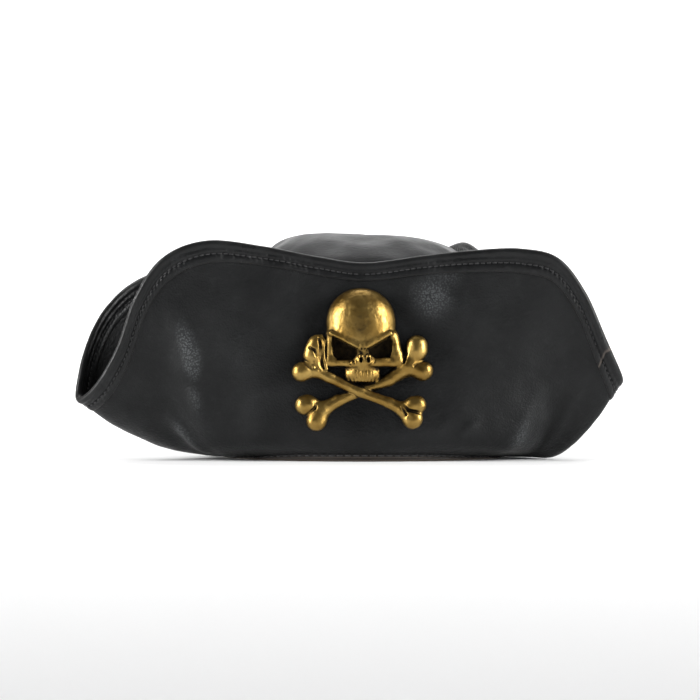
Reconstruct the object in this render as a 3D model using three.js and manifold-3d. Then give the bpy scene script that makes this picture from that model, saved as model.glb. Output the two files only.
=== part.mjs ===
// A black leather three-cornered hat with a cast skull-and-crossbones badge, in millimetres.
// +Z is up, the badge faces -Y, and the origin is on the surface the hat stands on, under its middle.
//
// The crown is a band with a domed tip, lined, with a sweatband inside its foot. The brim is one ring of
// leather, sewn round the foot of the crown and cocked up into three walls that meet at three tips.
// Its edge is wired and bound. A screw and a washer behind the front wall hold each badge boss.
import * as THREE from "three";
import { mergeVertices } from "three/addons/utils/BufferGeometryUtils.js";
import Module from "manifold-3d";

const wasm = await Module();
wasm.setup();

// ---- Driving dimensions -------------------------------------------------------------------------
const GAP = 0.3; // between pieces that touch on the real hat
const HEAD_HALF_WIDTH = 84; // the outside of the crown at its foot
const HEAD_HALF_LENGTH = 98;
const HEAD_SQUARENESS = 2.15; // 2 is an ellipse

const CROWN_LEATHER = 1.5;
const TIP_SEAM_Z = 101; // where the domed tip meets the band
// How the crown narrows: height, then its share of the foot's size.
const BAND_PROFILE = [[0, 1], [20, 0.985], [55, 0.94], [80, 0.9], [TIP_SEAM_Z - GAP, 0.845]];
const TIP_PROFILE = [
  [TIP_SEAM_Z, 0.843],
  [111, 0.79],
  [118.5, 0.72],
  [123, 0.655],
  [127.5, 0.56],
  [130.4, 0.45],
  [131.8, 0.33],
  [131.3, 0],
];

const LINING_CLOTH = 0.6;
const LINING_FOOT_Z = 5;
const SWEATBAND_LEATHER = 1.2;
const SWEATBAND_HEIGHT = 32;

const BRIM_LEATHER = 1.4;
const BRIM_CLEARANCE = 0.6; // from the crown's face
const BRIM_ROOT_Z = 1.2; // the lowest that the middle of the leather comes
const BRIM_EASE = 1.6; // how softly it comes to rest there
const BRIM_FLANGE_SHARE = 0.03; // of the wall's height, sewn flat to the crown before it leaves it
const BRIM_TURN_SHARE = 0.05; // of the wall's height, in which it turns up
const BINDING_LEATHER = 0.8;
const BINDING_CLEARANCE = 0.6; // between the faces of the brim and the legs of the binding
const BINDING_DEPTH = 7.5; // how far each leg of the binding reaches over the brim
const WIRE_RADIUS = 0.75;

// The brim's outline, station by station round the hat: the angle of its root from the front in degrees,
// the point of its edge, how far the leather runs out flat from the root before it turns up, and how far
// it sags below a straight line from root to edge.
const BRIM_OUTLINE = [
  // the front wall, from its middle to the right tip
  { angle: 0, edge: [0, -97, 109], flat: 7, sag: 0 },
  { angle: 16, edge: [34, -100, 113], flat: 11, sag: 2 },
  { angle: 30, edge: [64, -106, 116], flat: 19, sag: 9 },
  { angle: 40, edge: [88, -109, 116.5], flat: 25, sag: 16 },
  { angle: 48, edge: [107, -109, 111.5], flat: 25, sag: 19 },
  { angle: 54, edge: [122, -106, 92.5], flat: 20, sag: 19 },
  { angle: 58, edge: [133.5, -101, 67], flat: 12, sag: 18 },
  { angle: 62, edge: [144.5, -90, 43.5], flat: 5, sag: 17 },
  // the right wall, from the right tip to the back tip
  { angle: 66, edge: [139.5, -71, 52], flat: 9, sag: 16 },
  { angle: 70, edge: [130, -60, 73], flat: 15, sag: 17 },
  { angle: 76, edge: [117, -46, 93], flat: 20, sag: 16 },
  { angle: 86, edge: [106, -22, 105], flat: 17, sag: 10 },
  { angle: 102, edge: [91, 16, 111], flat: 10, sag: 3 },
  { angle: 120, edge: [76, 52, 117], flat: 7, sag: 0 },
  { angle: 138, edge: [63, 86, 127.5], flat: 9, sag: 3 },
  { angle: 152, edge: [49, 117, 121], flat: 15, sag: 11 },
  { angle: 164, edge: [34, 144, 104], flat: 17, sag: 16 },
  { angle: 172, edge: [20, 164, 74], flat: 12, sag: 15 },
  { angle: 180, edge: [1, 178, 40], flat: 6, sag: 13 },
  // the left wall, from the back tip to the left tip
  { angle: 188, edge: [-18, 165, 73], flat: 12, sag: 15 },
  { angle: 196, edge: [-33, 145, 104], flat: 17, sag: 16 },
  { angle: 208, edge: [-48, 119, 118], flat: 15, sag: 11 },
  { angle: 222, edge: [-64, 89, 118], flat: 9, sag: 3 },
  { angle: 240, edge: [-80, 52, 111], flat: 7, sag: 0 },
  { angle: 258, edge: [-98, 16, 108], flat: 10, sag: 3 },
  { angle: 273, edge: [-118, -20, 107], flat: 15, sag: 9 },
  { angle: 283, edge: [-136, -44, 98], flat: 16, sag: 12 },
  { angle: 289, edge: [-149, -61, 82], flat: 14, sag: 11 },
  { angle: 294, edge: [-158, -75, 59], flat: 10, sag: 9 },
  { angle: 298, edge: [-161, -86, 35], flat: 5, sag: 7 },
  // the front wall again, from the left tip back to its middle
  { angle: 303, edge: [-150, -97, 41], flat: 10, sag: 9 },
  { angle: 307, edge: [-136.5, -104, 63], flat: 16, sag: 13 },
  { angle: 312, edge: [-126, -109, 91], flat: 22, sag: 17 },
  { angle: 319, edge: [-111, -112, 112], flat: 25, sag: 18 },
  { angle: 328, edge: [-88, -111, 121], flat: 20, sag: 11 },
  { angle: 340, edge: [-57, -105, 118], flat: 12, sag: 3 },
  { angle: 350, edge: [-27, -99, 112.5], flat: 8, sag: 1 },
];

const THREAD_RADIUS = 0.35;
const FOOT_SEAM_SHARE = 0.018; // of the wall's height
const BINDING_SEAM_DEPTH = 3.8; // below the edge of the brim's leather

const BADGE_CENTRE = [-0.5, 56.8]; // x and z
const BADGE_TILT = 4; // leans back with the front wall, in degrees
const BADGE_HALF_WIDTH = 40;
const BOSS_RADIUS = 2.6;
const BOSS_HEIGHTS = { upper: 20, lower: -17 }; // above the badge's centre
const SCREW_RADIUS = 1.5;
const SCREW_HEAD_RADIUS = 4.6;
const SCREW_HEAD = 1.4;
const SCREW_GRIP = 3; // how far the screw goes into the boss
const WASHER_RADIUS = 6.5;
const WASHER = 1;

const AROUND_CROWN = 56; // facets round the crown
const AROUND_LINING = 48;
const STEPS_PER_STATION = 2; // facets between two stations of the brim
const BRIM_ROWS = [0, 0.03, 0.08, 0.16, 0.32, 0.55, 0.75];

// ---- Small tools --------------------------------------------------------------------------------
const radians = THREE.MathUtils.degToRad;

/** The Catmull-Rom value at t, 0 to 1 round a closed list; turn is what one round adds. */
function periodic(values, t, turn = 0) {
  const n = values.length;
  const at = (t - Math.floor(t)) * n;
  const i = Math.floor(at);
  const f = at - i;
  const [a, b, c, d] = [-1, 0, 1, 2].map((k) => {
    const j = i + k;
    return values[((j % n) + n) % n] + turn * Math.floor(j / n);
  });
  return b + 0.5 * f * (c - a + f * (2 * a - 5 * b + 4 * c - d + f * (3 * (b - c) + d - a)));
}

/** A closed solid swept once round the hat. loopAt(t) gives the closed loop of its section. */
function ringSolid(steps, loopAt) {
  const loops = Array.from({ length: steps }, (_, k) => loopAt(k / steps));
  const size = loops[0].length;
  const position = loops.flat().flatMap((p) => [p.x, p.y, p.z]);
  const point = (k, j) => loops[k % steps][j % size];
  const index = [];
  const addTriangle = (...corners) => {
    const [a, b, c] = corners.map(([k, j]) => point(k, j));
    const collapsed = [a.distanceTo(b), b.distanceTo(c), c.distanceTo(a)].some((d) => d < 1e-4);
    if (!collapsed) index.push(...corners.map(([k, j]) => (k % steps) * size + (j % size)));
  };
  for (let k = 0; k < steps; k += 1) {
    for (let j = 0; j < size; j += 1) {
      addTriangle([k, j], [k + 1, j], [k + 1, j + 1]);
      addTriangle([k, j], [k + 1, j + 1], [k, j + 1]);
    }
  }
  const geometry = new THREE.BufferGeometry();
  geometry.setAttribute("position", new THREE.Float32BufferAttribute(position, 3));
  geometry.setIndex(index);
  return facingOut(geometry);
}

/** The geometry with its faces turned round if they point inwards. */
function facingOut(geometry) {
  const { position } = geometry.attributes;
  const { index } = geometry;
  const [a, b, c] = [new THREE.Vector3(), new THREE.Vector3(), new THREE.Vector3()];
  let volume = 0;
  for (let i = 0; i < index.count; i += 3) {
    [a, b, c].forEach((v, k) => v.fromBufferAttribute(position, index.getX(i + k)));
    volume += a.dot(b.cross(c));
  }
  if (volume < 0) index.array.reverse();
  return geometry;
}

/** A manifold-3d solid of a three.js geometry. */
function toSolid(geometry) {
  const bare = new THREE.BufferGeometry().setAttribute("position", geometry.getAttribute("position"));
  if (geometry.index) bare.setIndex(geometry.index);
  const merged = mergeVertices(bare, 1e-4);
  const corners = merged.index.array;
  const triangles = [];
  for (let i = 0; i < corners.length; i += 3) {
    const [a, b, c] = corners.slice(i, i + 3);
    if (a !== b && b !== c && c !== a) triangles.push(a, b, c);
  }
  return new wasm.Manifold(
    new wasm.Mesh({
      numProp: 3,
      vertProperties: merged.attributes.position.array,
      triVerts: new Uint32Array(triangles),
    }),
  );
}

function toGeometry(solid) {
  const { vertProperties, triVerts } = solid.getMesh();
  const geometry = new THREE.BufferGeometry();
  geometry.setAttribute("position", new THREE.BufferAttribute(vertProperties, 3));
  geometry.setIndex(new THREE.BufferAttribute(triVerts, 1));
  return geometry;
}

function mesh(name, geometry, material) {
  const made = new THREE.Mesh(geometry, material);
  made.name = name;
  return made;
}

// ---- The head oval ------------------------------------------------------------------------------
/** A point of the crown's oval at its foot, pushed out by offset, at an angle from the front. */
function ovalPoint(angle, share, offset, z) {
  const side = Math.sin(angle);
  const ahead = Math.cos(angle);
  const power = HEAD_SQUARENESS;
  const across = Math.abs(side / HEAD_HALF_WIDTH) ** power;
  const along = Math.abs(ahead / HEAD_HALF_LENGTH) ** power;
  const reach = (across + along) ** (-1 / power);
  const x = reach * side;
  const y = -reach * ahead;
  const normal = new THREE.Vector3(
    (Math.sign(x) * Math.abs(x / HEAD_HALF_WIDTH) ** (power - 1)) / HEAD_HALF_WIDTH,
    (Math.sign(y) * Math.abs(y / HEAD_HALF_LENGTH) ** (power - 1)) / HEAD_HALF_LENGTH,
    0,
  ).normalize();
  return new THREE.Vector3(x * share, y * share, z).addScaledVector(normal, offset);
}

/** The crown's share of its foot's size at a height. */
function crownShare(z) {
  const rows = [...BAND_PROFILE, ...TIP_PROFILE.slice(0, -1)];
  const after = rows.findIndex(([height]) => height >= z);
  if (after < 1) return after === 0 ? rows[0][1] : rows[rows.length - 1][1];
  const [[z0, s0], [z1, s1]] = [rows[after - 1], rows[after]];
  return s0 + ((s1 - s0) * (z - z0)) / Math.max(z1 - z0, 1e-6);
}

/** A shell round the crown: rows of [height, share], and the depths of its outer and inner faces. */
function crownShell(around, rows, outer, inner) {
  return ringSolid(around, (t) => {
    const angle = t * 2 * Math.PI;
    const face = (depth) =>
      rows.map(([z, share]) => {
        const drop = share < 0.8 ? depth * (1 - share / 0.8) ** 0.5 : 0;
        return ovalPoint(angle, share, share > 0 ? -depth * Math.min(1, share * 1.3) : 0, z - drop);
      });
    return [...face(outer), ...face(inner).reverse()];
  });
}

// ---- The brim's surface -------------------------------------------------------------------------
const AROUND_BRIM = BRIM_OUTLINE.length * STEPS_PER_STATION;
const ROOT_ANGLES = BRIM_OUTLINE.map(({ angle }) => angle);
const FLATS = BRIM_OUTLINE.map(({ flat }) => flat);
const SAGS = BRIM_OUTLINE.map(({ sag }) => sag);
const EDGE_COORDINATES = [0, 1, 2].map((axis) => BRIM_OUTLINE.map(({ edge }) => edge[axis]));

/** The middle of the brim's leather: t runs once round the hat, s from the root at 0 to the edge at 1. */
function brimMiddle(t, s) {
  const angle = radians(periodic(ROOT_ANGLES, t, 360));
  const rootOffset = BRIM_CLEARANCE + BRIM_LEATHER / 2;
  const root = ovalPoint(angle, 1, rootOffset, BRIM_ROOT_Z);
  const outward = ovalPoint(angle, 1, rootOffset + 1, BRIM_ROOT_Z).sub(root);
  const edge = new THREE.Vector3(...EDGE_COORDINATES.map((values) => periodic(values, t)));
  const turned = 1 - Math.exp(-Math.max(0, s - BRIM_FLANGE_SHARE) / BRIM_TURN_SHARE);
  const middle = root.lerp(edge, s).addScaledVector(outward, periodic(FLATS, t) * turned * (1 - s));
  // The sag stops at the surface that the hat stands on.
  const above = middle.z - 4 * periodic(SAGS, t) * s * (1 - s) - BRIM_ROOT_Z;
  middle.z = BRIM_ROOT_Z + (above + Math.hypot(above, BRIM_EASE)) / 2;
  return middle;
}

/** The brim's frame at t and s: along its edge, up its wall, and out of its lower face. */
function brimFrame(t, s) {
  const dt = 0.0015;
  const ds = 0.004;
  const above = Math.min(s + ds, 1);
  const below = Math.max(above - 2 * ds, 0);
  const along = brimMiddle(t + dt, s).sub(brimMiddle(t - dt, s)).normalize();
  const up = brimMiddle(t, above).sub(brimMiddle(t, below)).normalize();
  const normal = new THREE.Vector3().crossVectors(along, up).normalize();
  const away = new THREE.Vector3().crossVectors(normal, along).normalize();
  return { along, away, normal };
}

/** A point above the lower face of the brim by lift, and past its edge by past. */
function brimPoint(t, s, lift, past = 0) {
  const { away, normal } = brimFrame(t, s);
  return brimMiddle(t, s).addScaledVector(normal, lift).addScaledVector(away, past);
}

/** The share of the wall's height that lies distance below its edge. */
function shareBelowEdge(t, distance) {
  return 1 - distance / brimMiddle(t, 1).distanceTo(brimMiddle(t, 0));
}

// ---- Leather, cloth and wire --------------------------------------------------------------------
function brimGeometry() {
  const half = BRIM_LEATHER / 2;
  return ringSolid(AROUND_BRIM, (t) => {
    const rows = [...BRIM_ROWS, shareBelowEdge(t, BINDING_DEPTH), 1];
    return [
      ...rows.map((s) => brimPoint(t, s, half)),
      ...rows.map((s) => brimPoint(t, s, -half)).reverse(),
    ];
  });
}

/** The folded strip over the brim's edge: two legs, joined round the wire. */
function bindingGeometry() {
  const inside = BRIM_LEATHER / 2 + BINDING_CLEARANCE;
  const outside = inside + BINDING_LEATHER;
  const fold = GAP + WIRE_RADIUS; // the wire's centre, past the brim's edge
  const arc = [90, 45, 0, -45, -90].map(radians);
  return ringSolid(AROUND_BRIM, (t) => {
    const low = shareBelowEdge(t, BINDING_DEPTH);
    const round = (radius) =>
      arc.map((a) => brimPoint(t, 1, radius * Math.sin(a), fold + GAP + radius * Math.cos(a)));
    return [
      brimPoint(t, low, outside),
      ...round(outside),
      brimPoint(t, low, -outside),
      brimPoint(t, low, -inside),
      ...round(inside).reverse(),
      brimPoint(t, low, inside),
    ];
  });
}

function wireGeometry() {
  const sides = 6;
  return ringSolid(AROUND_BRIM, (t) =>
    Array.from({ length: sides }, (_, k) => {
      const a = (k * 2 * Math.PI) / sides;
      return brimPoint(t, 1, WIRE_RADIUS * Math.sin(a), GAP + WIRE_RADIUS + WIRE_RADIUS * Math.cos(a));
    }),
  );
}

/** A seam's line of thread on the brim, at the share of the wall's height that shareAt gives. */
function brimThread(shareAt, lift) {
  return ringSolid(AROUND_BRIM, (t) => {
    const s = shareAt(t);
    return [0, 90, 180, 270].map(radians).map((a) =>
      brimPoint(t, s, lift + THREAD_RADIUS * Math.sin(a), THREAD_RADIUS * Math.cos(a)),
    );
  });
}

/** A seam's line of thread round the crown, at a height and an offset from its face. */
function crownThread(z, offset) {
  return ringSolid(AROUND_CROWN, (t) =>
    [0, 90, 180, 270].map(radians).map((a) => {
      const out = offset + THREAD_RADIUS * Math.cos(a);
      return ovalPoint(t * 2 * Math.PI, crownShare(z), out, z + THREAD_RADIUS * Math.sin(a));
    }),
  );
}

function liningGeometry() {
  const outer = CROWN_LEATHER + 2 * GAP;
  const band = BAND_PROFILE.slice(1, -1);
  const tip = TIP_PROFILE.slice(1).map(([z, share]) => [z - CROWN_LEATHER, share * 0.99]);
  const rows = [[LINING_FOOT_Z, crownShare(LINING_FOOT_Z)], ...band, [99, 0.845], ...tip];
  return crownShell(AROUND_LINING, rows, outer, outer + LINING_CLOTH);
}

function sweatbandGeometry() {
  const outer = CROWN_LEATHER + LINING_CLOTH + 4 * GAP;
  const rows = [GAP, SWEATBAND_HEIGHT / 2, SWEATBAND_HEIGHT].map((z) => [z, crownShare(z)]);
  return crownShell(AROUND_CROWN, rows, outer, outer + SWEATBAND_LEATHER);
}

// ---- The badge ----------------------------------------------------------------------------------
// In the badge's own frame x is to its right, z is up, and its face looks to -y with its back at y = 0.
// "out" is the distance in front of the back.
const SKULL = { x: -0.7, z: 20, halfWidth: 19.8, halfHeight: 20.6, depth: 13.5 };
const BONE_RADIUS = 2.7;
const FRONT_BONE = {
  out: 5.2,
  knobs: [[-36.2, -7.4, 4.8], [-29.4, 4, 4.8], [30.6, -25.4, 4.6], [28.8, -35, 4.8]],
  shaft: [[-27.5, -4.8], [25.5, -28.5]],
};
const REAR_BONE = {
  out: 2.6,
  knobs: [[-34, -25.2, 5], [-26.4, -35.3, 4.9], [31.4, 6, 5], [35, -7.2, 4.6]],
  shaft: [[-25, -28.6], [26.5, -3.2]],
};
const LEFT_EYE = [[-17.7, 13.6], [-2.4, 6.2], [-2.8, 2.4], [-6.3, 1], [-15.6, 1], [-18.2, 5.3]];
const RIGHT_EYE = [[2.6, 6.2], [16.2, 13.6], [16.8, 9], [16.2, 2.4], [14.2, 1], [5.4, 1]];
const EYE_FLOOR = 3.5;
const CASTING_WALL = 2.2;

/** A sphere stretched to three half sizes. */
function ball(x, out, z, halfX, halfOut, halfZ, detail = 12) {
  const geometry = new THREE.SphereGeometry(1, detail, Math.round(detail * 0.7));
  geometry.scale(halfX, halfOut, halfZ);
  geometry.translate(x, -out, z);
  return toSolid(geometry);
}

/** A round bar between two points [x, z]. */
function bar([x0, z0], [x1, z1], out, radius0, radius1) {
  const from = new THREE.Vector3(x0, -out, z0);
  const to = new THREE.Vector3(x1, -out, z1);
  const geometry = new THREE.CylinderGeometry(radius1, radius0, from.distanceTo(to), 10);
  const direction = to.clone().sub(from).normalize();
  const turn = new THREE.Quaternion().setFromUnitVectors(new THREE.Vector3(0, 1, 0), direction);
  geometry.applyQuaternion(turn);
  geometry.translate(...from.add(to).multiplyScalar(0.5).toArray());
  return toSolid(geometry);
}

/** An outline of [x, z] points, from one distance in front of the back to another. */
function slab(outline, low, high) {
  const shape = new THREE.Shape(outline.map(([x, z]) => new THREE.Vector2(x, z)));
  const geometry = new THREE.ExtrudeGeometry(shape, { depth: high - low, bevelEnabled: false });
  geometry.rotateX(Math.PI / 2);
  geometry.translate(0, -low, 0);
  return toSolid(geometry);
}

/** A cylinder across the wall, from one distance in front of the badge's back to another. */
function pin(x, z, low, high, radius, sides = 16) {
  const geometry = new THREE.CylinderGeometry(radius, radius, high - low, sides);
  geometry.translate(x, -(low + high) / 2, z);
  return toSolid(geometry);
}

/** One long bone: a shaft that thickens to its ends, and two knobs at each end. */
function bone({ out, knobs, shaft }) {
  const [from, to] = shaft;
  const middle = [(from[0] + to[0]) / 2, (from[1] + to[1]) / 2];
  const ends = [from, from, to, to];
  const neck = ([x, z, radius], k) => bar(ends[k], [x, z], out, radius * 0.75, radius * 0.7);
  return wasm.Manifold.union([
    bar(from, middle, out, BONE_RADIUS * 1.25, BONE_RADIUS),
    bar(middle, to, out, BONE_RADIUS, BONE_RADIUS * 1.25),
    ...knobs.map(([x, z, radius]) => ball(x, out, z, radius, radius * 0.8, radius)),
    ...knobs.map(neck),
  ]);
}

function skull() {
  const { x, z, halfWidth, halfHeight, depth } = SKULL;
  const mass = wasm.Manifold.union([
    ball(x, 0, z, halfWidth, depth, halfHeight, 24),
    ball(x, 0, 6, 20.4, 10.5, 11, 16),
    bar([-21, -1.5], [20.5, -1.5], 5.2, 2.6, 2.6),
    ball(0.6, 4, -2, 6, 8.2, 7),
    slab([[-9, -3], [8.8, -3], [8, -12.8], [-8, -12.8]], 0, 8.6),
  ]);
  const hollows = wasm.Manifold.union([
    slab(LEFT_EYE, EYE_FLOOR, 20),
    slab(RIGHT_EYE, EYE_FLOOR, 20),
    ball(-1.5, 11, -0.4, 1.4, 4, 2, 8),
    ball(2.8, 11, -0.4, 1.4, 4, 2, 8),
  ]);
  return mass.subtract(hollows);
}

/** The hollow behind the skull's forehead, open at the back. */
function castingHollow() {
  const { x, z, halfWidth, halfHeight, depth } = SKULL;
  const [width, height] = [halfWidth - CASTING_WALL, halfHeight - CASTING_WALL];
  const whole = ball(x, -1, z, width, depth - CASTING_WALL, height, 18);
  return whole.trimByPlane([0, 0, 1], 15);
}

/** The casting, with a boss behind it for each screw; reach is how far the bosses go through the wall. */
function badgeSolid(reach) {
  const heights = Object.values(BOSS_HEIGHTS);
  const top = { upper: SKULL.depth - CASTING_WALL, lower: FRONT_BONE.out };
  const bosses = Object.entries(BOSS_HEIGHTS).map(([name, z]) => pin(0, z, -reach, top[name], BOSS_RADIUS));
  const bores = heights.map((z) => pin(0, z, -reach - 1, SCREW_GRIP + 1, SCREW_RADIUS + GAP, 12));
  return wasm.Manifold.union([skull(), bone(FRONT_BONE), bone(REAR_BONE)])
    .trimByPlane([0, -1, 0], 0)
    .subtract(castingHollow())
    .add(wasm.Manifold.union(bosses))
    .subtract(wasm.Manifold.union(bores))
    .simplify(0.02);
}

function washerSolid(x, z, face) {
  return pin(x, z, -face - WASHER, -face, WASHER_RADIUS, 20).subtract(
    pin(x, z, -face - WASHER - 1, -face + 1, SCREW_RADIUS + GAP, 12),
  );
}

/** A screw whose head bears at y = face, with a crosswise slot. */
function screwSolid(x, z, face) {
  const head = pin(x, z, -face - SCREW_HEAD, -face, SCREW_HEAD_RADIUS, 20);
  const shank = pin(x, z, -face - SCREW_HEAD / 2, SCREW_GRIP, SCREW_RADIUS, 12);
  const slot = new THREE.BoxGeometry(2 * SCREW_HEAD_RADIUS + 1, 1.2, 1.2);
  slot.translate(x, face + SCREW_HEAD, z);
  return head.add(shank).subtract(toSolid(slot));
}

// ---- Where the badge sits on the front wall -------------------------------------------------------
/** From the badge's frame to the hat's, with the back of the badge at the front of the crown. */
const badgeTurn = new THREE.Matrix4()
  .makeTranslation(BADGE_CENTRE[0], -HEAD_HALF_LENGTH, BADGE_CENTRE[1])
  .multiply(new THREE.Matrix4().makeRotationX(radians(-BADGE_TILT)));

/** The faces of the front wall as points in that frame: outer for the outside, inner for the inside. */
function frontWallPoints() {
  const back = badgeTurn.clone().invert();
  const points = [];
  for (let i = -60; i <= 60; i += 1) {
    for (let j = 4; j <= 60; j += 1) {
      const [t, s] = [i / 60 / 6, j / 60];
      const face = (side) => brimPoint(t, s, (side * BRIM_LEATHER) / 2).applyMatrix4(back);
      points.push({ outer: face(1), inner: face(-1) });
    }
  }
  return points;
}

// ---- The hat --------------------------------------------------------------------------------------
function finish(name, color, roughness, metalness = 0) {
  return new THREE.MeshStandardMaterial({ name, color, roughness, metalness });
}

const blackLeather = finish("black_leather", 0x26282a, 0.42);
const crownLeather = finish("crown_leather", 0x2a2c2e, 0.34);
const brownLeather = finish("brown_leather", 0x3a261c, 0.6);
const cloth = finish("lining_cloth", 0x1b1b1d, 0.8);
const thread = finish("black_thread", 0x17181a, 0.6);
const brass = finish("aged_brass", 0xa9853f, 0.34, 1);
const steel = finish("steel", 0x8d9094, 0.4, 1);

function crown() {
  const group = new THREE.Group();
  group.name = "crown";
  group.add(mesh("crown_band", crownShell(AROUND_CROWN, BAND_PROFILE, 0, CROWN_LEATHER), crownLeather));
  group.add(mesh("crown_tip", crownShell(AROUND_CROWN, TIP_PROFILE, 0, CROWN_LEATHER), crownLeather));
  group.add(mesh("crown_tip_thread", crownThread(TIP_SEAM_Z + 1.5, GAP + THREAD_RADIUS), thread));
  group.add(mesh("lining", liningGeometry(), cloth));
  group.add(mesh("sweatband", sweatbandGeometry(), brownLeather));
  return group;
}

/** The brim with its edging; holes are the solids to cut from its front wall. */
function brim(holes) {
  const group = new THREE.Group();
  group.name = "cocked_brim";
  const pierced = toSolid(brimGeometry()).subtract(wasm.Manifold.union(holes));
  const onBrim = BRIM_LEATHER / 2 + GAP + THREAD_RADIUS;
  const onBinding = onBrim + BINDING_CLEARANCE + BINDING_LEATHER;
  group.add(mesh("brim", toGeometry(pierced), blackLeather));
  group.add(mesh("edge_wire", wireGeometry(), steel));
  group.add(mesh("edge_binding", bindingGeometry(), blackLeather));
  const bindingSeam = (t) => shareBelowEdge(t, BINDING_SEAM_DEPTH);
  group.add(mesh("binding_thread_outer", brimThread(bindingSeam, onBinding), thread));
  group.add(mesh("binding_thread_inner", brimThread(bindingSeam, -onBinding), thread));
  group.add(mesh("foot_thread", brimThread(() => FOOT_SEAM_SHARE, onBrim), thread));
  return group;
}

function hat() {
  const group = new THREE.Group();
  group.name = "three_cornered_hat";
  const wall = frontWallPoints();
  const near = (x, z, reach) => wall.filter(({ outer }) => Math.hypot(outer.x - x, outer.z - z) < reach);
  const proudest = Math.min(...near(0, 0, BADGE_HALF_WIDTH).map(({ outer }) => outer.y));
  const place = badgeTurn.clone().multiply(new THREE.Matrix4().makeTranslation(0, proudest - GAP, 0));
  const badge = new THREE.Group();
  badge.name = "badge_and_fasteners";
  badge.applyMatrix4(place);
  const holes = [];
  Object.entries(BOSS_HEIGHTS).forEach(([name, z]) => {
    const behind = Math.max(...near(0, z, WASHER_RADIUS + 3).map(({ inner }) => inner.y)) - proudest + GAP;
    const face = behind + GAP;
    badge.add(mesh(`badge_washer_${name}`, toGeometry(washerSolid(0, z, face)), steel));
    badge.add(mesh(`badge_screw_${name}`, toGeometry(screwSolid(0, z, face + WASHER + GAP)), steel));
    holes.push(pin(0, z, -20, 20, BOSS_RADIUS + GAP));
  });
  const reach = Math.min(...near(0, 0, 25).map(({ inner }) => inner.y)) - proudest + GAP;
  badge.add(mesh("skull_badge", toGeometry(badgeSolid(reach)), brass));
  const column = place.toArray();
  group.add(crown(), brim(holes.map((hole) => hole.transform(column))), badge);

  // The origin goes under the middle of the whole hat.
  const box = new THREE.Box3().setFromObject(group);
  const centre = box.getCenter(new THREE.Vector3());
  group.position.set(-centre.x, -centre.y, -box.min.z);
  return group;
}

export default hat();
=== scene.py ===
# A black leather three-cornered hat with a brass skull badge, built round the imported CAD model.
# Sizes in this file are millimetres in the hat's own frame, whose origin is under the middle of the crown.
# to_scene() turns them into metres in the model's frame.
import math

import bpy
import numpy as np
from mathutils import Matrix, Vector


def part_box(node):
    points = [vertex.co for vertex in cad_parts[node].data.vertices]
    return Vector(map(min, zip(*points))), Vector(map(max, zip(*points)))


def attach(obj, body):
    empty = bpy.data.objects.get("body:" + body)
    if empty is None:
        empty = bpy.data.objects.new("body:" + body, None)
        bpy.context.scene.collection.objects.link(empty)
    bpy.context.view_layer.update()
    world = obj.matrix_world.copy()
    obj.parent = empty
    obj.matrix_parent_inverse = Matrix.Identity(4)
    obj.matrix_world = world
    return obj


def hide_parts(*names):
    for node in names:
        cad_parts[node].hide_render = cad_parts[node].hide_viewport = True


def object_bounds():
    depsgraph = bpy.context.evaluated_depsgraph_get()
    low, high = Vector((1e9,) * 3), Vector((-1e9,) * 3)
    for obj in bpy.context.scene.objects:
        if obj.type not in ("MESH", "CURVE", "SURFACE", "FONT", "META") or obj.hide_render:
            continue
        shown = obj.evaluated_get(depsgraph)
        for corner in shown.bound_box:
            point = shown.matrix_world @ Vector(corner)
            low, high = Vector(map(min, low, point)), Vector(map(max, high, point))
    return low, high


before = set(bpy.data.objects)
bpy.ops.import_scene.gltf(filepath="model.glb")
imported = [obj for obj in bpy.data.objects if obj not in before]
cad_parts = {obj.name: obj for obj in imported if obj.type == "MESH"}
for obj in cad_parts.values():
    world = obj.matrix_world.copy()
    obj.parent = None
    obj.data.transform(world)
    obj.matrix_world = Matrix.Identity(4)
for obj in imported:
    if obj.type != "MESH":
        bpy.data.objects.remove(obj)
CAD_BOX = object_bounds()
MM = 0.001
TAU = 2 * math.pi

band_low, band_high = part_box("crown_band")
ORIGIN = np.array([(band_low[0] + band_high[0]) / 2, (band_low[1] + band_high[1]) / 2, band_low[2]])

# ---- The driving dimensions ------------------------------------------------------------------------
# The outline and the leathers follow the CAD's closely. The wire, the binding's seam, the crown's profiles
# and the badge's height differ a little from it. Counts, stitch pitches and insets are this file's own.
HEAD_HALF_WIDTH, HEAD_HALF_LENGTH, HEAD_SQUARENESS = 84.0, 98.0, 2.15
BRIM_HALF = 0.7
BRIM_CLEARANCE = 0.6
BRIM_LOWEST = 1.2
BRIM_EASE = 1.6
BRIM_FLANGE_SHARE = 0.03
BRIM_TURN_SHARE = 0.05
BRIM_ROUNDS = 620
BRIM_ROWS = 74
SEAM_DEPTH = 3.6
WIRE_RADIUS = 0.7
STITCH_PITCH = 3.3
FOOT_SEAM_SHARE = 0.018
FOOT_STITCH_PITCH = 4.6
ROLL_RADIUS = 2.0
ROLL_OUT = 1.2
BADGE_TILT = 4
BADGE_X = -0.5
BADGE_Z = 57.2
BAND_PROFILE = [(0, 1), (20, 0.985), (55, 0.94), (80, 0.9), (96, 0.86), (101, 0.843)]
TIP_PROFILE = [
    (101, 0.843), (111, 0.79), (118.5, 0.72), (123, 0.655), (127.5, 0.56), (130.4, 0.45), (131.8, 0.33),
]
CROWN_LEATHER = 1.5
TIP_STITCHES = 118
LINING_CLOTH = 0.6
LINING_INSET = 2.1
SWEATBAND_LEATHER = 1.2
SWEATBAND_INSET = 3.3
SWEATBAND_HEIGHT = 32
MEAN_HALF_HEAD = 91
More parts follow.
